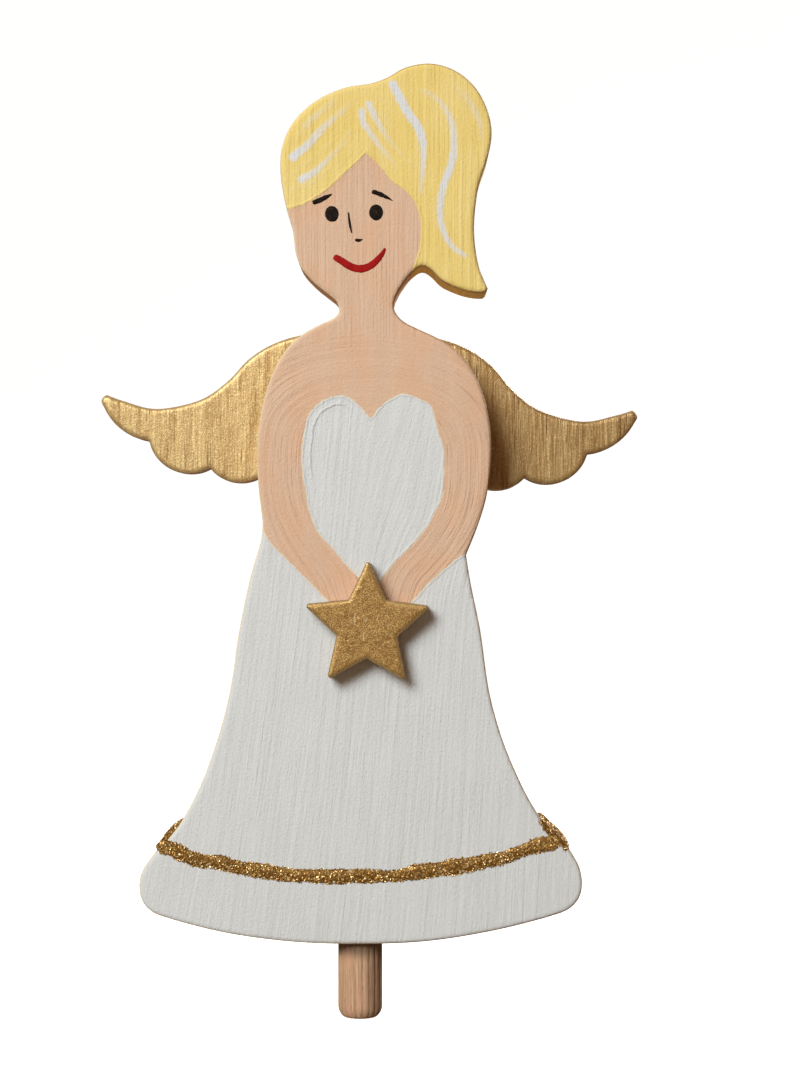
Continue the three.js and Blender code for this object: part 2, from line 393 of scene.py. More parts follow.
class Graph:
    """Builds one material's nodes with short calls."""

    def __init__(self, name, roughness, metallic=0.0, specular=0.5):
        self.material = bpy.data.materials.new(name)
        self.material.use_nodes = True
        self.tree = self.material.node_tree
        self.shader = self.tree.nodes["Principled BSDF"]
        for key, value in (
            ("Roughness", roughness), ("Metallic", metallic), ("Specular IOR Level", specular),
        ):
            self.shader.inputs[key].default_value = value
        coordinates = self.node("ShaderNodeTexCoord", {}, "Object")
        self.position = self.scaled(coordinates, (TO_MM, TO_MM, TO_MM))
        self.x, self.y, self.z = (self.split(self.position, axis) for axis in "XYZ")

    def node(self, kind, inputs, output, **settings):
        """A new node with values or links at its inputs; gives one of its outputs."""
        made = self.tree.nodes.new(kind)
        for key, value in settings.items():
            setattr(made, key, value)
        for key, value in inputs.items():
            self.put(made.inputs[key], value)
        return made.outputs[output]

    def put(self, socket, value):
        if isinstance(value, bpy.types.NodeSocket):
            self.tree.links.new(value, socket)
        else:
            socket.default_value = value

    def scaled(self, vector, by, operation="MULTIPLY"):
        return self.node("ShaderNodeVectorMath", {0: vector, 1: by}, 0, operation=operation)

    def shifted(self, vector, by):
        return self.scaled(vector, by, "ADD")

    def split(self, vector, axis):
        return self.node("ShaderNodeSeparateXYZ", {0: vector}, axis)

    def upright(self):
        """The position with z in the second place, as the stroke coordinates have it."""
        return self.node("ShaderNodeCombineXYZ", {"X": self.x, "Y": self.z, "Z": self.y}, 0)

    def attribute(self, name, output="Fac"):
        return self.node("ShaderNodeAttribute", {}, output, attribute_name=name)

    def noise(self, vector, scale=1.0, detail=2.0, roughness=0.5):
        inputs = {"Vector": vector, "Scale": scale, "Detail": detail, "Roughness": roughness}
        return self.node("ShaderNodeTexNoise", inputs, "Fac")

    def math(self, operation, a, b=0.0, c=0.0):
        return self.node("ShaderNodeMath", {0: a, 1: b, 2: c}, "Value", operation=operation)

    def times(self, a, b):
        return self.math("MULTIPLY", a, b)

    def off(self, value, middle):
        """How far a value lies from a middle one, either way."""
        return self.math("ABSOLUTE", self.math("SUBTRACT", value, middle))

    def ramp(self, value, low, high, to_low=0.0, to_high=1.0):
        inputs = {"Value": value, "From Min": low, "From Max": high, "To Min": to_low,
                  "To Max": to_high}
        return self.node("ShaderNodeMapRange", inputs, "Result", interpolation_type="SMOOTHSTEP")

    def mix(self, share, a, b):
        """Mixes two colours."""
        return self.node("ShaderNodeMix", {0: share, 6: a, 7: b}, 2, data_type="RGBA")

    def layered(self, code, *layers):
        """A colour with others laid over it, each given by its share and its code."""
        color = rgb(code)
        for share, laid in layers:
            color = self.mix(share, color, rgb(laid))
        return color

    def blend(self, share, a, b):
        """Mixes two plain values."""
        return self.node("ShaderNodeMix", {0: share, 2: a, 3: b}, 0, data_type="FLOAT")

    def bump(self, height, distance_mm, after=None):
        inputs = {"Height": height, "Distance": distance_mm * MM}
        return self.node("ShaderNodeBump", inputs | ({"Normal": after} if after else {}), 0)

    def finish(self, color, normal=None, roughness=None):
        for key, value in (("Base Color", color), ("Normal", normal), ("Roughness", roughness)):
            if value is not None:
                self.put(self.shader.inputs[key], value)
        return self.material


def rgb(code):
    """Linear colour from an sRGB hex code."""
    parts = [int(code[k : k + 2], 16) / 255 for k in (0, 2, 4)]
    linear = [p / 12.92 if p <= 0.04045 else ((p + 0.055) / 1.055) ** 2.4 for p in parts]
    return (*linear, 1.0)


def give(piece, material, slot, *nodes):
    """Puts a piece on the one body with its material, and hides the CAD nodes that it stands for;
    slot is not used.
    """
    piece.data.materials.append(material)
    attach(piece, "root")
    if nodes:
        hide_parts(*nodes)


# ---------- painted regions of the body board ----------

HAIR_LINE = [
    (-16, 131.6), (-12.7, 131.8), (-9.1, 133.1), (-6.2, 135.0), (-2.7, 138.2), (-0.4, 140.3),
    (1.2, 141.9),
]
HAIR_LINE_RIGHT = [
    (1.2, 141.9), (3.4, 139.7), (5.7, 137.0), (8.2, 135.0), (10.0, 132.9), (10.8, 130.5),
    (11.0, 128.2), (10.8, 125.3), (10.0, 122.4), (9.5, 121.0), (8.9, 118.5),
]
HAIR_FAR = [(8.9, 114.5), (40, 114.5), (40, 180), (-40, 180), (-40, 131.6)]
BACK_HAIR_LINE = [
    (-14, 114.4), (-4, 114.2), (0, 113.2), (4, 113.6), (7, 115.0), (12, 114.5), (30, 114.5),
]
BACK_HAIR_FAR = [(40, 114.5), (40, 180), (-40, 180), (-40, 114.5)]
SKIRT_LINE = [
    (-22, 81.0), (-17.1, 73.9), (-15.6, 71.6), (-12.5, 68.5), (-10.1, 66.1), (-7.7, 63.7),
    (-5.9, 61.8), (-2.6, 59.2), (1.6, 57.8), (5.8, 58.9), (9.4, 61.5), (11.3, 63.6),
    (13.7, 66.0), (16.4, 68.3), (18.9, 70.1), (24, 73.6),
]
SKIRT_FAR = [(60, 73.6), (60, -30), (-60, -30), (-60, 81.0)]
HEART_LEFT = [
    (2.0, 94.2), (0.3, 96.1), (-1.5, 97.8), (-3.5, 98.4), (-5.5, 98.0), (-8.1, 96.3),
    (-9.4, 94.3), (-10.0, 91.2), (-10.4, 87.2), (-10.0, 83.0), (-9.2, 78.4), (-7.5, 74.0),
    (-4.9, 71.0), (-2.9, 68.6), (-0.7, 66.3), (2.0, 63.6),
]
HEART_RIGHT = [
    (2.0, 63.6), (3.8, 65.3), (4.8, 66.6), (6.1, 68.3), (8.4, 70.6), (11.4, 73.9),
    (13.6, 77.6), (14.6, 79.8), (15.1, 83.0), (15.2, 86.2), (14.9, 89.5), (13.9, 92.8),
    (13.1, 95.8), (12.1, 97.1), (10.1, 98.1), (7.8, 98.7), (5.7, 97.8), (3.8, 96.5), (2.0, 94.2),
]
# A smooth loop about the bodice, which the brush strokes of the arms follow. It is also the
# edge of the bodice on the back.
ARM_LOOP = [
    (-9.6, 92.0), (-6.0, 94.6), (2.0, 95.6), (10.0, 94.4), (14.2, 91.5), (15.0, 85.0),
    (14.2, 79.0), (11.4, 73.9), (6.1, 67.6), (1.6, 60.0), (-2.9, 67.6), (-7.5, 74.0),
    (-9.8, 79.5), (-10.4, 86.0),
]
LOOP_CENTRE = (2.2, 83.0)
LOOP_RADIUS = 16.0

# White strokes painted over the hair: points, widths in mm at start, middle and end, and how
# strongly the paint covers at start, middle and end.
STREAKS = [
    ([(6.0, 154.1), (7.5, 151.2), (8.7, 149.0), (10.3, 146.8), (11.3, 144.0), (11.4, 141.0),
      (11.2, 138.0), (11.0, 134.6)], (1.6, 1.6, 0.6), (1.0, 1.0, 0.5)),
    ([(10.9, 153.2), (13.6, 151.8), (15.6, 149.3), (16.7, 146.4), (16.9, 143.2), (16.4, 139.7),
      (15.2, 136.5), (14.5, 133.3), (14.5, 130.0), (15.3, 127.2), (16.9, 124.8), (18.9, 123.5)],
     (0.9, 1.45, 0.9), (0.35, 1.0, 0.8)),
    ([(17.2, 153.8), (19.4, 151.5), (21.0, 148.7), (21.9, 145.5), (22.0, 141.6)],
     (1.1, 1.2, 0.7), (0.3, 0.5, 0.2)),
    ([(-11.9, 141.1), (-9.1, 143.5), (-6.8, 146.1), (-4.3, 148.3), (-1.4, 150.9)],
     (1.6, 1.3, 1.0), (1.0, 0.65, 0.3)),
    ([(-11.0, 144.8), (-9.1, 147.4), (-6.8, 149.3), (-4.3, 151.2)],
     (0.9, 1.1, 1.0), (0.3, 0.5, 0.25)),
    ([(-10.5, 137.0), (-7.8, 138.7), (-5.9, 140.5), (-3.6, 142.9), (-1.4, 145.8)],
     (1.3, 1.0, 0.8), (1.0, 0.5, 0.25)),
    ([(0.4, 149.3), (0.7, 147.4), (2.1, 145.1), (4.0, 142.6), (6.9, 139.4)],
     (1.3, 1.0, 0.7), (0.9, 0.65, 0.3)),
    ([(1.7, 150.6), (2.8, 148.3), (4.7, 145.1), (6.9, 142.3), (9.2, 139.7)],
     (1.3, 1.0, 0.7), (0.9, 0.45, 0.25)),
    ([(3.7, 149.0), (5.2, 146.9), (6.4, 144.3)], (0.8, 0.8, 0.5), (0.35, 0.3, 0.15)),
    ([(-12.7, 134.9), (-7.8, 137.0), (-3.9, 140.7)], (0.5, 0.5, 0.4), (0.3, 0.35, 0.2)),
    ([(-12.2, 138.0), (-8.5, 140.7), (-4.8, 144.0)], (0.5, 0.6, 0.4), (0.3, 0.3, 0.2)),
]
FAR_FROM_STREAK = -3.0
STREAK_STEP = 0.3


def streak_fields(points):
    """How deep inside a white stroke each point lies, and how strongly the stroke covers."""
    depth = np.full(len(points), FAR_FROM_STREAK)
    cover = np.zeros(len(points))
    for path, widths, covers in STREAKS:
        line = through(path, STREAK_STEP)
        gap, place = nearest(line, points)
        share = place / np.linalg.norm(np.diff(line, axis=0), axis=1).sum()
        width = np.interp(share, (0, 0.45, 1), widths)
        here = width / 2 - gap
        closer = here > depth
        depth = np.where(closer, here, depth)
        cover = np.where(closer, np.interp(share, (0, 0.5, 1), covers), cover)
    return depth, cover


class Regions:
    """Signed distances to the paint borders at given (x, z) points of the front or the back,
    positive inside the painted area, and the coordinates that the brush strokes follow."""

    def __init__(self, flat, facing):
        x, z = flat.T
        loop = through(ARM_LOOP, closed=True)
        loop = np.concatenate([loop, loop[:1]])
        if facing > 0:
            hair_line, hair_far = through(BACK_HAIR_LINE), BACK_HAIR_FAR
            bodice = loop
        else:
            left, right = through(HAIR_LINE), through(HAIR_LINE_RIGHT)
            hair_line, hair_far = np.concatenate([left, right[1:]]), HAIR_FAR
            left, right = through(HEART_LEFT), through(HEART_RIGHT)
            bodice = np.concatenate([left, right[1:]])
        skirt_line = through(SKIRT_LINE)
        self.hair = signed(hair_line, np.concatenate([hair_line, hair_far]), flat)
        self.bodice = signed(bodice, bodice, flat)
        self.skirt = signed(skirt_line, np.concatenate([skirt_line, SKIRT_FAR]), flat)
        self.white = np.maximum(self.bodice, self.skirt)
        self.across_arm = -signed(loop, loop, flat)
        turn = np.arctan2(x - LOOP_CENTRE[0], z - LOOP_CENTRE[1])
        self.along_arm = turn * LOOP_RADIUS
        lean = 0.10 - 0.0022 * x + 0.12 * smoothstep(60, 80, z) * smoothstep(-2, 12, x)
        self.across_dress = x - lean * (z - 40)


# ---------- boards ----------

RING_DEPTH = 0.6  # how far behind its front face a board's outline is read


def front_and_back(node):
    low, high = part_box(node)
    return low.y * TO_MM, high.y * TO_MM


def board(node, name, slot, material, sanded, step, spacing, relief, paint,
          ring_depth=RING_DEPTH, straight=False):
    """The fine board that is shown in place of a CAD node."""
    front, back = front_and_back(node)
    outline = fair_outline(cad_ring(node, front + ring_depth), step, straight)
    made = sawn_board(name, outline, front, back, sanded, spacing, relief, paint)
    give(made, material, slot, node)


def side_grain(along, y):
    return 0.04 * rough_noise(along / 1.6, y / 5, 61) + 0.02 * noise(along / 0.7, y / 9, 67)


# ---------- body board ----------

BODY_SPACING = 0.4
BODY_STEP = 0.4
SANDED = (0.8, 0.65)  # width and depth of the rounded edges
NECK_LOW, NECK_HIGH = 104.0, 112.0


def body_relief(flat, facing):
    """Brush marks, wood grain under the paint and the thick edges of the painted areas, in mm."""
    x, z = flat.T
    at = Regions(flat, facing)
    grain = rough_noise(x / 0.8, z / 26, 3) * 0.022 + noise(x / 2.6, z / 60, 9) * 0.030
    arm = rough_noise(at.across_arm / 0.8, at.along_arm / 14, 21) * 0.050
    upright = rough_noise(x / 0.9, z / 18, 33) * 0.030
    dress = rough_noise(at.across_dress / 1.1, z / 17, 35) * 0.045
    skin = arm + (upright - arm) * smoothstep(NECK_LOW, NECK_HIGH, z)
    height = grain + np.where(at.hair > 0, upright, np.where(at.white > 0, dress, skin))
    for field, thick in ((at.white, 0.045), (at.hair, 0.04)):
        border = np.exp(-((np.abs(field) - 0.12) ** 2) / 0.05)
        height += thick * border * (0.6 + 0.4 * noise(x / 1.5, z / 1.5, 41))
    height += 0.05 * smoothstep(-0.2, 0.3, at.hair)
    if facing < 0:
        left_lobe = smoothstep(-1, -5, x) * smoothstep(78, 86, z)
        height += 0.06 * np.exp(-((at.bodice - 1.5) ** 2) / 0.03) * left_lobe
        height += 0.03 * smoothstep(-0.2, 0.2, streak_fields(flat)[0])
    return height + 0.03 * rough_noise(x / 9, z / 14, 55)


def body_paint(points, parts):
    """The fields that the painted material reads: region borders, strokes and brush directions."""
    flat = points[:, [0, 2]]
    front, back = Regions(flat, -1), Regions(flat, 1)
    depth, cover = streak_fields(flat)
    on_back, none = parts > 0, np.zeros(len(flat))
    return {
        "paint_hair": np.where(on_back, back.hair, front.hair),
        "paint_white": np.where(on_back, back.white, front.white),
        "streak_depth": np.where(on_back, FAR_FROM_STREAK, depth),
        "streak_cover": cover,
        "arm_stroke": np.stack([front.across_arm, front.along_arm, none], 1),
        "dress_stroke": np.stack([front.across_dress, flat[:, 1], none], 1),
    }


def brushed(g, coordinates, across, along, seed):
    """Ridges that a brush leaves, and a share for the finest hair lines cut into them, which the
    materials carve with the bump and also colour darker as painted shade.
    """
    moved = g.shifted(g.scaled(coordinates, (across, along, 1.0)), (seed, 0, 0))
    ridges = g.noise(moved, 1.0, 3, 0.6)
    hairs = g.noise(g.shifted(g.scaled(moved, (2.1, 1.7, 1.0)), (0, seed, 5.0)), 1.0, 1.5)
    patchy = g.noise(g.shifted(g.scaled(coordinates, (0.30, 0.10, 1)), (seed, 0, 9)), 1.0, 2)
    cut = g.times(g.ramp(hairs, 0.58, 0.72), g.ramp(patchy, 0.40, 0.62))
    return ridges, cut


def painted_wood():
    """Matt hand-brushed paint in three colours over sawn wood."""
    g = Graph("painted_wood", 0.62, specular=0.18)
    wobble = g.math("MULTIPLY_ADD", g.noise(g.position, 1.1, 3), 0.5, -0.25)
    hair_at = g.math("ADD", g.attribute("paint_hair"), wobble)
    white_at = g.math("ADD", g.attribute("paint_white"), wobble)
    hair = g.ramp(hair_at, -0.06, 0.06)
    white = g.ramp(white_at, -0.06, 0.06)

    upright = g.upright()
    arm = g.attribute("arm_stroke", "Vector")
    dress = g.attribute("dress_stroke", "Vector")
    low = g.ramp(g.split(dress, "Y"), NECK_LOW, NECK_HIGH, 1.0, 0.0)

    def by_region(up_value, arm_value, dress_value):
        body = g.blend(white, g.blend(low, up_value, arm_value), dress_value)
        return g.blend(hair, body, up_value)

    marks = zip(
        brushed(g, upright, 1.3, 0.040, 3.0),
        brushed(g, arm, 1.4, 0.055, 11.0),
        brushed(g, dress, 1.2, 0.045, 23.0),
        strict=True,
    )
    ridge, cut = (by_region(*each) for each in marks)
    aside = g.off(g.x, 2.0)
    calm = g.times(g.ramp(aside, 8.0, 17.0, 1.0, 0.0), g.ramp(g.z, 93.0, 98.0))
    calm = g.times(calm, g.times(low, g.math("SUBTRACT", 1.0, white)))
    ridge = g.blend(g.times(calm, 0.75), ridge, 0.5)
    cut = g.times(cut, g.math("MULTIPLY_ADD", calm, -0.9, 1.0))
    cut = g.times(cut, by_region(0.6, 1.6, 0.6))
    soft = g.noise(g.scaled(g.position, (0.16, 0.16, 0.10)), 1.0, 3)
    mottle = g.noise(g.position, 2.2, 4, 0.65)

    # Each paint is coloured lighter on its brush ridges and darker in the fine cut lines: painted
    # highlight on the ridges and painted shade in the grooves, over the same marks that the bump
    # carves. The hair is also coloured darker between its ridges, as painted shade.
    skin = g.layered(
        "D8B396", (g.ramp(soft, 0.40, 0.62), "D9AF8E"),
        (g.ramp(ridge, 0.40, 0.75, 0, 0.30), "E4C6AA"), (g.times(cut, 0.16), "A87C5E"),
    )
    blonde = g.layered(
        "E9CC76", (g.ramp(soft, 0.35, 0.65), "EBCF80"),
        (g.ramp(ridge, 0.50, 0.8, 0, 0.5), "F4E0A0"),
        (g.ramp(ridge, 0.45, 0.30, 0, 0.6), "DDBA66"), (g.times(cut, 0.20), "B8984E"),
    )
    dress_color = g.layered(
        "D3D3D0", (g.ramp(soft, 0.3, 0.7), "D6D6D3"),
        (g.ramp(ridge, 0.45, 0.8, 0, 0.35), "DEDEDB"), (g.times(cut, 0.06), "B0AEA8"),
    )

    cover = g.attribute("streak_cover")
    dabs = g.noise(g.scaled(g.position, (2.6, 2.6, 1.2)), 1.0, 4, 0.7)
    streak_at = g.math("MULTIPLY_ADD", dabs, 1.3, g.attribute("streak_depth"))
    streak = g.times(g.ramp(streak_at, 0.42, 0.98), cover)
    dry = g.ramp(g.math("ADD", mottle, cover), 0.60, 1.15)
    blonde = g.mix(g.times(streak, dry), blonde, rgb("DAD9D7"))

    bare = g.ramp(g.off(white_at, 0.0), 0.04, 0.22, 0.75, 0.0)
    bare = g.times(bare, g.ramp(dabs, 0.38, 0.55))
    color = g.mix(white, skin, dress_color)
    color = g.mix(bare, color, rgb("E6D2AE"))
    color = g.mix(hair, color, blonde)
    color = g.mix(g.ramp(mottle, 0.40, 0.75, 0, 0.08), color, rgb("8F7A60"))
    # The sanded rims are tinted cream on the left and brown on the right: paint worn thin at the
    # edges, with the change from left to right painted as light on the left rims and shade on the
    # right ones.
    rim_wear_and_light_at = g.math("MULTIPLY_ADD", dabs, 0.5, g.attribute("rim"))
    worn = g.mix(g.ramp(g.x, -4.0, 8.0), rgb("EBD9B4"), rgb("A5825E"))
    color = g.mix(g.ramp(rim_wear_and_light_at, 0.62, 0.34, 0.0, 0.8), color, worn)

    lobe = g.times(g.ramp(g.x, -1.0, -4.0), g.ramp(g.z, 80.0, 87.0))
    tide = g.times(g.ramp(g.off(white_at, 1.5), 0.0, 0.34, 1.0, 0.0), lobe)
    for field in (white_at, hair_at):
        thick = g.ramp(g.off(field, 0.22), 0.0, 0.30, 0.5, 0.0)
        tide = g.math("MAXIMUM", tide, thick)
    height = g.math("MULTIPLY_ADD", cut, -0.16, ridge)
    normal = g.bump(g.times(height, by_region(1.05, 1.2, 0.82)), 0.26)
    normal = g.bump(mottle, 0.13, after=normal)
    normal = g.bump(tide, 0.12, after=normal)
    roughness = g.ramp(ridge, 0.3, 0.8, 0.72, 0.56)
    return g.finish(color, normal, roughness)


def body_board():
    board(
        "body_board", "painted_body", "painted_board", painted_wood(), SANDED, BODY_STEP,
        BODY_SPACING, body_relief, body_paint,
    )


# ---------- face ----------

EYES = [((-4.96, 130.95), (1.26, 1.44)), ((2.96, 131.2), (1.25, 1.42))]
# Painted lines: points of the middle, and the width in mm at each of them.
BROWS = [
    ([(-8.15, 133.0), (-7.1, 133.4), (-5.9, 134.0), (-5.0, 134.45)], (0.85, 0.95, 0.80, 0.25)),
    ([(2.45, 134.9), (3.5, 134.55), (4.7, 134.0), (5.95, 133.3)], (0.80, 0.85, 0.60, 0.10)),
]
NOSE = [
    ([(-2.0, 131.15), (-1.85, 129.9), (-1.65, 128.6), (-1.42, 127.6)], (0.25, 0.42, 0.46, 0.25)),
    ([(-0.65, 126.25), (-0.1, 126.2), (0.42, 126.35)], (0.50, 0.60, 0.36)),
]
SMILE = (
    [(-4.3, 123.15), (-3.2, 122.5), (-2.0, 121.7), (-0.7, 121.2), (0.6, 121.15), (2.1, 121.75),
     (3.4, 122.95), (4.1, 123.85), (4.52, 124.65)],
    (1.12, 1.28, 1.34, 1.38, 1.40, 1.28, 1.15, 0.95, 0.50),
)
PAINT_STEP = 0.1
PAINT_THICK = 0.09
PAINT_ROOT = 0.15  # how far the dabs reach into the board


def stroke_outline(path, widths):
    """The anticlockwise outline of a painted line with round ends."""
    line = through(path, PAINT_STEP)
    knots = np.linspace(0, 1, len(widths))
    half = np.interp(np.linspace(0, 1, len(line)), knots, widths) / 2
    ragged = 0.05 * noise(np.arange(len(line)) * 0.3, half * 0, int(abs(line[0, 0]) * 10))
    half = np.maximum(half + ragged * half, 0.04)
    along = unit(np.gradient(line, axis=0))
    side = np.stack([-along[:, 1], along[:, 0]], 1)
    left, right = line + side * half[:, None], line - side * half[:, None]
    caps = []
    turn = np.linspace(-math.pi / 2, math.pi / 2, 7)[1:-1, None]
    for end, sign in ((-1, 1), (0, -1)):
        ahead = along[end] * sign * np.cos(turn) * 0.7
        caps.append(line[end] + half[end] * (ahead + side[end] * sign * np.sin(turn)))
    return np.concatenate([right, caps[0], left[::-1], caps[1]])


def eye_outline(centre, radii, seed):
    turn = np.arange(0, 2 * math.pi, PAINT_STEP / radii[0])
    wavy = 1 + 0.03 * noise(turn * 1.5, turn * 0, seed)
    round_it = np.stack([np.cos(turn), np.sin(turn)], 1)
    return np.array(centre) + np.array(radii) * wavy[:, None] * round_it


def dab(outline, front):
    """One closed dab of thick paint that lies on the front: points, faces and rim distances."""
    flat, triangles, edge = sheet(outline, (0, 0.03, 0.08), 1.6 * PAINT_STEP)
    thick = PAINT_THICK * np.sqrt(smoothstep(-0.02, 0.18, edge))
    thick += 0.015 * noise(flat[:, 0] / 0.25, flat[:, 1] / 0.5, 71)
    top = front - body_relief(flat, -1) - thick
    low = front + PAINT_ROOT
    points = np.concatenate([raised(flat, top), raised(flat, low)])
    here, total = np.arange(len(outline)), len(flat)
    faces = [triangles, triangles[:, ::-1] + total, band(here, here + total)]
    return points, np.concatenate(faces), np.concatenate([edge, edge])


def joined(solids):
    """Several (points, faces, values) as one."""
    points, faces, values = zip(*solids, strict=True)
    bases = np.cumsum([0] + [len(p) for p in points[:-1]])
    faces = [f + base for f, base in zip(faces, bases, strict=True)]
    return np.concatenate(points), np.concatenate(faces), np.concatenate(values)


def dark_ink():
    g = Graph("face_ink", 0.6, specular=0.08)
    streaky = g.noise(g.scaled(g.position, (4.0, 4.0, 5.0)), 1.0, 3, 0.7)
    worn = g.ramp(streaky, 0.60, 0.68, 0.0, 0.8)
    thin = g.ramp(g.attribute("rim"), 0.0, 0.12, 0.30, 0.0)
    color = g.mix(g.math("MAXIMUM", worn, thin), rgb("150E09"), rgb("6E563E"))
    return g.finish(color, g.bump(streaky, 0.04))


def red_lips():
    g = Graph("lip_paint", 0.6, specular=0.08)
    cloudy = g.noise(g.scaled(g.position, (1.4, 1.4, 1.8)), 1.0, 3)
    color = g.layered(
        "A2130F", (g.ramp(cloudy, 0.35, 0.7), "8F0F0C"),
        (g.ramp(g.attribute("rim"), 0.0, 0.10, 0.8, 0.0), "5E1A10"),
    )
    return g.finish(color, g.bump(cloudy, 0.03))


def face():
    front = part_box("body_board")[0].y * TO_MM
    ink = dark_ink()
    lines = {
        "eyes": [eye_outline(*eye, seed) for seed, eye in enumerate(EYES)],
        "brows": [stroke_outline(*line) for line in BROWS],
        "nose": [stroke_outline(*line) for line in NOSE],
    }
    for name, outlines in lines.items():
        points, faces, rim = joined([dab(o, front) for o in outlines])
        give(make_mesh(name, points, faces, {"rim": rim}), ink, "face_ink")
    points, faces, rim = dab(stroke_outline(*SMILE), front)
    give(make_mesh("smile", points, faces, {"rim": rim}), red_lips(), "lip_paint")


# ---------- wings and star ----------

WING_SPACING = 0.42
STAR_SPACING = 0.2


def wing_relief(flat, facing):
    x, z = flat.T
    strokes = rough_noise(x / 0.9, z / 12, 81 + facing) * 0.05
    return strokes + 0.04 * rough_noise(x / 2.5, z / 9, 84) + 0.02 * rough_noise(x, z, 88)


def star_relief(flat, facing):
    x, z = flat.T
    return 0.035 * rough_noise(x / 0.9, z / 0.9, 91 + facing) + 0.03 * noise(x / 4, z / 4, 93)


def no_fields(points, parts):
    return {}


# Fine bright scratches in the star's paint, each from one (x, z) point to another.
SCRATCHES = [
    ((-0.77, 59.5), (-0.77, 57.4)), ((1.45, 58.7), (1.17, 58.0)), ((1.02, 56.3), (0.74, 55.8)),
    ((0.80, 55.2), (0.80, 54.6)), ((3.3, 58.8), (3.2, 58.5)),
]


def star_fields(points, parts):
    flat = points[:, [0, 2]]
    gaps = [nearest(np.array(ends), flat)[0] for ends in SCRATCHES]
    return {"scratch": np.where(parts < 0, np.min(gaps, 0), 1.0)}


def gold_paint():
    """Metallic paint brushed over upright grain, coloured darker towards the right wing as painted
    shade.
    """
    g = Graph("gold_paint", 0.46, metallic=0.45)
    upright = g.upright()
    ridge, groove = brushed(g, upright, 1.3, 0.07, 31.0)
    # To the right the ridges and grooves grow stronger, in the bump and in their colours; the
    # lighter ridges and darker grooves are painted highlight and painted shade, strongest on the
    # right wing.
    rough_and_shaded_right = g.ramp(g.x, -14.0, 14.0, 0.62, 1.0)
    ridge = g.blend(rough_and_shaded_right, 0.5, ridge)
    groove = g.times(groove, rough_and_shaded_right)
    speck = g.noise(g.position, 3.4, 2, 0.6)
    wide = g.noise(g.scaled(upright, (0.5, 0.05, 1)), 1.0, 2)
    # The paint turns darker brown towards the right wing: this is painted shade on that wing, not
    # a thinner coat.
    thin = g.ramp(g.x, 4.0, 26.0, 0.0, 0.38)
    # The rims are tinted paler all round: wear at the sanded edges, and a painted highlight
    # standing in for bright bevels.
    rim_wear_and_highlight_at = g.math("MULTIPLY_ADD", speck, 0.5, g.attribute("rim"))
    color = g.layered(
        "A68046", (g.ramp(ridge, 0.3, 0.72), "CAA86F"),
        (g.ramp(wide, 0.40, 0.60, 0, 0.4), "DCBE82"),
        (g.ramp(speck, 0.5, 0.72, 0, 0.55), "F0D8A2"),
        (g.ramp(speck, 0.45, 0.28, 0, 0.4), "876430"),
        (g.times(groove, 0.5), "5E401B"), (thin, "7A4C18"),
        (g.ramp(rim_wear_and_highlight_at, 0.50, 0.28, 0.0, 0.6), "D9C3AC"),
    )
    height = g.math("MULTIPLY_ADD", groove, -0.5, ridge)
    normal = g.bump(height, 0.22)
    normal = g.bump(speck, 0.045, after=normal)
    return g.finish(color, normal)


def star_gold():
    """Metallic paint full of fine grains, with bright specks painted on as glints, and a few
    bright scratches.
    """
    g = Graph("star_gold", 0.46, metallic=0.55)
    grain = g.noise(g.position, 4.6, 2, 0.7)
    painted_glint = g.noise(g.shifted(g.position, (7, 3, 5)), 5.5, 1, 0.5)
    cloud = g.noise(g.position, 0.8, 3)
    # The rims are tinted paler all round: wear at the edges, and a painted highlight standing in
    # for the bright bevels.
    rim_wear_and_highlight_at = g.math("MULTIPLY_ADD", grain, 0.5, g.attribute("rim"))
    color = g.layered(
        "956B33", (g.ramp(cloud, 0.3, 0.7), "A2783F"),
        (g.ramp(grain, 0.50, 0.68, 0, 0.6), "CFA861"),
        (g.ramp(grain, 0.48, 0.32, 0, 0.8), "684618"),
        # bright specks: painted glints
        (g.ramp(painted_glint, 0.56, 0.70, 0, 0.8), "EACC86"),
        (g.ramp(rim_wear_and_highlight_at, 0.80, 0.35, 0.0, 0.18), "F6E3B2"),
        (g.ramp(g.attribute("scratch"), 0.02, 0.12, 0.75, 0.0), "FBEBC0"),
    )
    normal = g.bump(grain, 0.045)
    normal = g.bump(cloud, 0.05, after=normal)
    return g.finish(color, normal)


def wings_and_star():
    board(
        "wings_board", "gold_wings", "gold_paint", gold_paint(), (0.9, 0.6), WING_SPACING,
        WING_SPACING, wing_relief, no_fields,
    )
    board(
        "star", "gold_star", "star_gold", star_gold(), (0.75, 0.42), STAR_SPACING,
        STAR_SPACING, star_relief, star_fields, ring_depth=0.3, straight=True,
    )


# ---------- dowel peg ----------

FLUTES = 20
FLUTE_DEPTH = 0.23
PEG_ROUND = 2.1  # length of the rounded ends
PEG_NARROWS = 1.5  # how much smaller the radius is where the flat ends begin
PEG_END = (0.6, 1.4)  # radii of the rings on the flat ends
PEG_STEP = 0.4
PEG_AROUND = 200


def about_axis(radius, turn, z):
    """A ring of points about the Z axis."""
    flat = radius * np.cos(turn), radius * np.sin(turn)
    return np.stack(np.broadcast_arrays(*flat, z), -1)


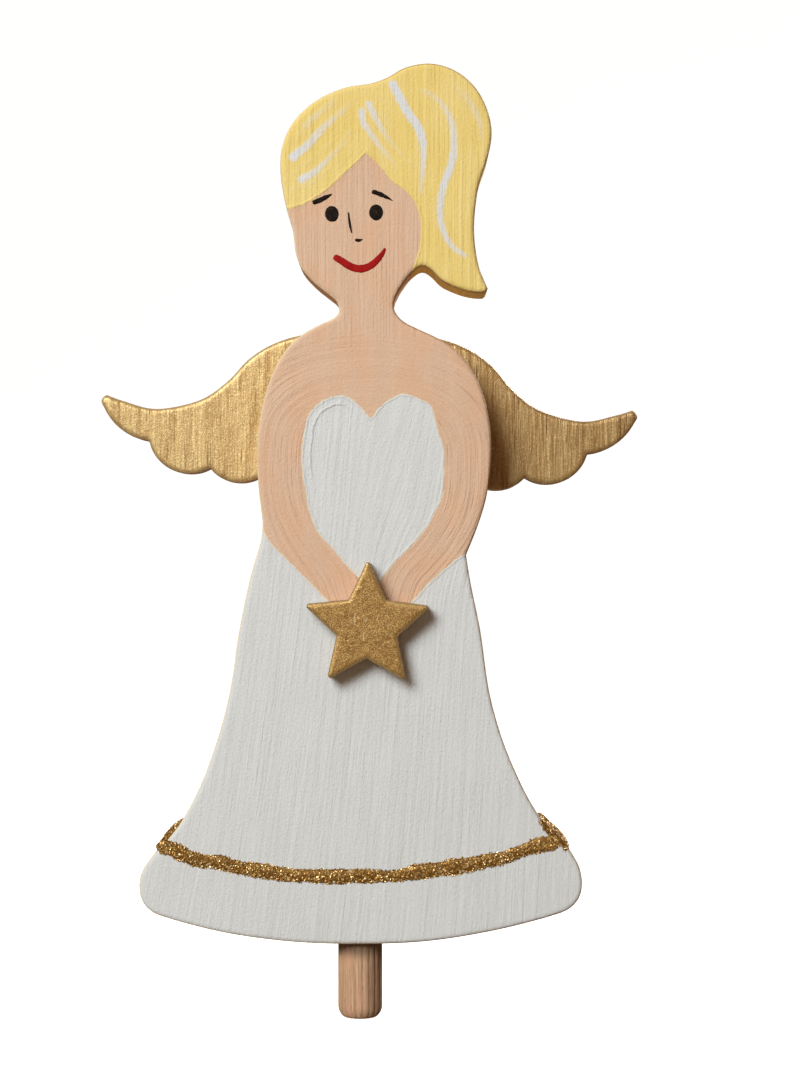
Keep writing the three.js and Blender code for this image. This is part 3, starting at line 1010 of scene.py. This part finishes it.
def peg():
    low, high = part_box("dowel_peg")
    z0, z1, radius = low.z * TO_MM, high.z * TO_MM, high.x * TO_MM
    turn = np.linspace(0, math.pi / 2, 9)
    bend_in = radius - PEG_NARROWS * (1 - np.sin(turn))
    bottom = z0 + PEG_ROUND * (1 - np.cos(turn))
    rows = [(r, z0) for r in PEG_END]
    rows += list(zip(bend_in, bottom, strict=True))
    rows += [(radius, z) for z in np.arange(z0 + PEG_ROUND + PEG_STEP, z1 - PEG_ROUND, PEG_STEP)]
    rows += [(r, z1 - (z - z0)) for r, z in zip(bend_in[::-1], bottom[::-1], strict=True)]
    rows += [(r, z1) for r in PEG_END[::-1]]
    here = np.arange(PEG_AROUND)
    around = here / PEG_AROUND * 2 * math.pi
    valley = 0.5 - 0.5 * np.cos(FLUTES * around)
    uneven = 0.75 + 0.25 * noise(around * 4, around * 0, 97)
    points = []
    for r, z in rows:
        cut = FLUTE_DEPTH * valley**3 * uneven * np.clip((r - PEG_END[1]) / 1.6, 0, 1)
        fibre = 0.03 * rough_noise(around * radius / 0.35, np.full(PEG_AROUND, z / 6), 99)
        points.append(about_axis(r - cut - np.abs(fibre) * min(1.0, r / radius), around, z))
    points.append(np.array([[0, 0, z0], [0, 0, z1]]))
    faces = [
        band(k * PEG_AROUND + here, (k + 1) * PEG_AROUND + here)[:, ::-1]
        for k in range(len(rows) - 1)
    ]
    total, after = len(rows) * PEG_AROUND, np.roll(here, -1)
    top = total - PEG_AROUND
    faces.append(np.stack([after, here, np.full(PEG_AROUND, total)], 1))
    faces.append(np.stack([top + here, top + after, np.full(PEG_AROUND, total + 1)], 1))
    made = make_mesh("fluted_peg", np.concatenate(points), np.concatenate(faces))
    give(made, bare_beech(), "bare_wood", "dowel_peg")


def bare_beech():
    g = Graph("bare_wood", 0.6, specular=0.3)
    fibres = g.noise(g.scaled(g.position, (2.2, 2.2, 0.12)), 1.0, 4, 0.6)
    pores = g.noise(g.scaled(g.position, (5.0, 5.0, 0.5)), 1.0, 2, 0.5)
    warm = g.noise(g.scaled(g.position, (0.5, 0.5, 0.15)), 1.0, 2)
    # A dark band at the top of the peg, just under the board: painted shadow of the body board
    # cast onto the peg, though the name speaks of glue.
    glue = g.math("MULTIPLY_ADD", fibres, 1.6, g.z)
    # Darker brown towards the peg's right side: painted shade, as the light comes from the left.
    painted_right_shade = g.math("MULTIPLY_ADD", fibres, 1.5, g.x)
    color = g.layered(
        "AE8868", (g.ramp(fibres, 0.3, 0.7), "D1AA86"), (g.ramp(warm, 0.4, 0.7, 0, 0.5), "DBA284"),
        (g.ramp(pores, 0.60, 0.72, 0, 0.6), "7A5A3C"),
        (g.ramp(glue, -2.8, -0.4, 0, 0.7), "4C3A28"), (g.ramp(painted_right_shade, 0.4, 4.4, 0, 0.6), "6B5540"),
    )
    return g.finish(color, g.bump(g.math("ADD", fibres, pores), 0.08))


# ---------- glitter band ----------

BAND_LINE = [
    (-36.2, 18.1), (-34.2, 17.4), (-30.8, 15.8), (-28.0, 15.0), (-25.4, 14.8), (-22.7, 14.1),
    (-17.5, 13.3), (-12.2, 12.4), (-6.9, 12.0), (-1.0, 12.1), (5.4, 12.4), (10.8, 13.1),
    (17.3, 13.9), (23.2, 14.9), (29.2, 16.7), (32.2, 17.9), (35.9, 18.7),
]
BAND_WIDTH = 2.35
BAND_THICK = 0.42
# Each side's patch: its side, its lowest and highest z, and how far it stays from the face.
SIDE_PATCHES = [("left_glitter", -1, 16.6, 21.4, 0.7), ("right_glitter", 1, 16.8, 22.6, 0.04)]
SIDE_THICK = 0.8
BAND_STEP = 0.3
BED_COLUMNS = 13
SIDE_COLUMNS = 25
BED_ROOT = 0.12  # how far the glue reaches into the board
GLITTER_SEED = 12
FLAKE_RADIUS = (0.13, 0.24)
FLAKE_HALF_THICKNESS = 0.045
FLAKES_PER_MM2 = 21
SPILL = 0.8  # how many columns of the glue's grid the flakes spill past its edges


def surface_bed(base, normal, height):
    """A closed skin of glue: a grid of base points, raised along the normals."""
    rows, columns = height.shape
    top = base + normal * height[..., None]
    low = base - normal * BED_ROOT
    points = np.concatenate([top.reshape(-1, 3), low.reshape(-1, 3)])
    i = np.arange(rows * columns).reshape(rows, columns)
    quads = np.stack([i[:-1, :-1], i[1:, :-1], i[1:, 1:], i[:-1, 1:]], -1).reshape(-1, 4)
    under = quads[:, ::-1] + rows * columns
    rim = np.concatenate([i[0, :-1], i[:-1, -1], i[-1, :0:-1], i[:0:-1, 0]])
    after = np.roll(rim, -1)
    walls = np.stack([rim, after, after + rows * columns, rim + rows * columns], 1)
    quads = np.concatenate([quads, under, walls])
    return points, np.concatenate([quads[:, [0, 1, 2]], quads[:, [0, 2, 3]]])


def flakes(centres, normals, rng):
    """Thin hexagonal flakes, tilted every way: points, faces and a tone for each point."""
    count = len(centres)
    axis = unit(normals + rng.normal(0, 0.75, (count, 3)))
    u = unit(np.cross(axis, rng.normal(0, 1, (count, 3))))
    v = np.cross(axis, u)
    radius = rng.uniform(*FLAKE_RADIUS, count)[:, None]
    corners = [
        centres + radius * (u * math.cos(k * math.pi / 3) + v * math.sin(k * math.pi / 3))
        for k in range(6)
    ]
    tips = [centres + axis * FLAKE_HALF_THICKNESS, centres - axis * FLAKE_HALF_THICKNESS]
    points = np.stack(corners + tips, 1).reshape(-1, 3)
    pattern = [(k, (k + 1) % 6, 6) for k in range(6)] + [((k + 1) % 6, k, 7) for k in range(6)]
    faces = (np.arange(count)[:, None, None] * 8 + np.array(pattern)[None]).reshape(-1, 3)
    return points, faces, np.repeat(rng.uniform(0, 1, count), 8)


def glitter_on(name, base, normal, height, area, material, rng):
    """A bed of glue on a grid of base points, packed with flakes."""
    bed_points, bed_faces = surface_bed(base, normal, height)
    rows, columns = height.shape
    count = int(area * FLAKES_PER_MM2)
    row = rng.uniform(0, rows - 1.001, count)
    column = rng.uniform(-SPILL, columns - 1 + SPILL, count)
    i, j = row.astype(int), np.clip(column.astype(int), 0, columns - 2)
    a, b = (row - i)[:, None], (column - j)[:, None]

    def sampled(grid):
        low = grid[i, j] * (1 - b) + grid[i, j + 1] * b
        high = grid[i + 1, j] * (1 - b) + grid[i + 1, j + 1] * b
        return low * (1 - a) + high * a

    facing = sampled(normal)
    lift = np.maximum(sampled(height[..., None]), 0.03) + rng.uniform(-0.02, 0.16, (count, 1))
    centres = sampled(base) + facing * lift
    flake_points, flake_faces, tone = flakes(centres, facing, rng)
    bed = (bed_points, bed_faces, np.full(len(bed_points), -0.5))
    points, faces, tone = joined([bed, (flake_points, flake_faces, tone)])
    made = make_mesh(name, points, faces, {"tone": tone}, smooth=False)
    give(made, material, "gold_glitter", "glitter_band")


def gold_glitter():
    g = Graph("gold_glitter", 0.3, metallic=0.5)
    # Each flake has a random tone from dark bronze to pale gold; the few near-white ones are
    # painted glints.
    tone = g.attribute("tone")
    return g.finish(g.layered(
        "876127", (g.ramp(tone, 0.0, 0.45), "BB8C47"), (g.ramp(tone, 0.5, 0.95), "E0BC7B"),
        (g.ramp(tone, 0.93, 0.97), "F8E6B8"),
    ))


def face_glitter(name, y, facing, seed, material, rng):
    """The bead across the front or the back, thin at both ends."""
    line = through(BAND_LINE, BAND_STEP)
    along = unit(np.gradient(line, axis=0))
    up = np.stack([-along[:, 1], along[:, 0]], 1)
    place = np.arange(len(line)) * BAND_STEP
    across = np.linspace(-1, 1, BED_COLUMNS)
    middle = 0.25 * noise(place / 4, place * 0, seed)
    half = BAND_WIDTH / 2 * (1 + 0.22 * rough_noise(place / 3.2, place * 0, seed + 20))
    taper = np.sqrt(smoothstep(-0.3, 1.5, np.minimum(place, place[-1] - place)))
    offset = middle[:, None] + half[:, None] * taper[:, None] * across[None]
    base = raised(line[:, None] + up[:, None] * offset[..., None], y)
    normal = np.broadcast_to(np.array([0.0, facing, 0.0]), base.shape)
    height = BAND_THICK * np.sqrt(1 - across**2)[None] * taper[:, None]
    if facing > 0:
        base, height = base[:, ::-1], height[:, ::-1]
    area = place[-1] * BAND_WIDTH
    glitter_on(name, base[::-1], normal, height[::-1], area, material, rng)


def side_glitter(name, side, lowest, highest, clear, material, rng):
    """The patch where the bead runs over one side face."""
    front, back = front_and_back("body_board")
    outline = fair_outline(cad_ring("body_board", front + RING_DEPTH), BODY_STEP)
    x, z = outline.T
    on = (z > lowest) & (z < highest) & (x * side > 20)
    run, out = outline[on], outward(outline)[on]
    y = np.linspace(front + clear, back - 0.04, SIDE_COLUMNS)
    inset = round_drop(np.minimum(y - front, back - y), SANDED[1], SANDED[0])
    base = raised(run[:, None] - out[:, None] * inset[None, :, None], y)
    normal = np.broadcast_to(raised(out, 0.0)[:, None], base.shape)
    t = np.linspace(-1, 1, len(run))
    dome = np.sqrt(1 - 0.9 * np.linspace(-1, 1, SIDE_COLUMNS) ** 2)
    height = SIDE_THICK * np.sqrt(np.maximum(1 - t**2, 0))[:, None] * dome[None]
    area = (back - front) * len(run) * BODY_STEP
    glitter_on(name, base, normal, height, area, material, rng)


def glitter_band():
    front, back = front_and_back("body_board")
    material = gold_glitter()
    rng = np.random.default_rng(GLITTER_SEED)
    face_glitter("front_glitter", front, -1, 5, material, rng)
    face_glitter("back_glitter", back, 1, 8, material, rng)
    for patch in SIDE_PATCHES:
        side_glitter(*patch, material, rng)


# ---------- stage and light ----------

# The white floor bends up into a round wall. It glows by itself, and is left out of diffuse,
# glossy and shadow rays, so that the figure is lit by the lamps and the world alone.
STAGE_GLOW = 0.90
STAGE_FLAT, STAGE_BEND, STAGE_WALL = 1600.0, 700.0, 1900.0
STAGE_AROUND = 96
BEND_STEPS = 17


def stage():
    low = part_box("dowel_peg")[0].z * TO_MM
    profile = [(1.0, low)]
    for angle in np.linspace(0, math.pi / 2, BEND_STEPS):
        profile.append((STAGE_FLAT + STAGE_BEND * math.sin(angle),
                        low + STAGE_BEND * (1 - math.cos(angle))))
    profile.append((STAGE_FLAT + STAGE_BEND, low + STAGE_BEND + STAGE_WALL))
    here = np.arange(STAGE_AROUND)
    turn = here / STAGE_AROUND * 2 * math.pi
    points = np.concatenate([about_axis(r, turn, z) for r, z in profile])
    faces = np.concatenate([
        band(here + k * STAGE_AROUND, here + (k + 1) * STAGE_AROUND)
        for k in range(len(profile) - 1)
    ])
    floor = make_mesh("floor", points, faces)
    g = Graph("floor", 0.9, specular=0.1)
    g.shader.inputs["Emission Strength"].default_value = STAGE_GLOW
    floor.data.materials.append(g.finish(rgb("F6F4F0")))
    floor.visible_diffuse = floor.visible_glossy = floor.visible_shadow = False


# Square lamps, in metres: name, place, aim, spread in degrees, power and colour.
LAMPS = [
    ("key", (-0.56, -1.06, 0.68), (-0.11, 0, 0.145), 48, 1.91, (0.97, 1.035, 1.075)),
    ("rear", (0.95, 1.05, 0.80), (0, 0, 0.09), 45, 1.90, (1, 1, 1)),
]
LAMP_SIZE = 0.60
FILL_COLOR = (1, 0.71, 0.49, 1)
FILL_STRENGTH = 0.212


def area_light(name, place, aim, spread, power, color):
    data = bpy.data.lights.new(name, "AREA")
    data.spread, data.size = math.radians(spread), LAMP_SIZE
    data.energy, data.color = power, color
    lamp = bpy.data.objects.new(name, data)
    lamp.location = place
    lamp.rotation_euler = (Vector(place) - Vector(aim)).to_track_quat("Z", "Y").to_euler()
    bpy.context.scene.collection.objects.link(lamp)


def lights():
    for lamp in LAMPS:
        area_light(*lamp)
    world = bpy.data.worlds.new("studio")
    world.use_nodes = True
    background = world.node_tree.nodes["Background"].inputs
    background["Color"].default_value = FILL_COLOR
    background["Strength"].default_value = FILL_STRENGTH
    bpy.context.scene.world = world
    bpy.context.scene.view_settings.view_transform = "Standard"


camera()
stage()
lights()
body_board()
face()
wings_and_star()
peg()
glitter_band()
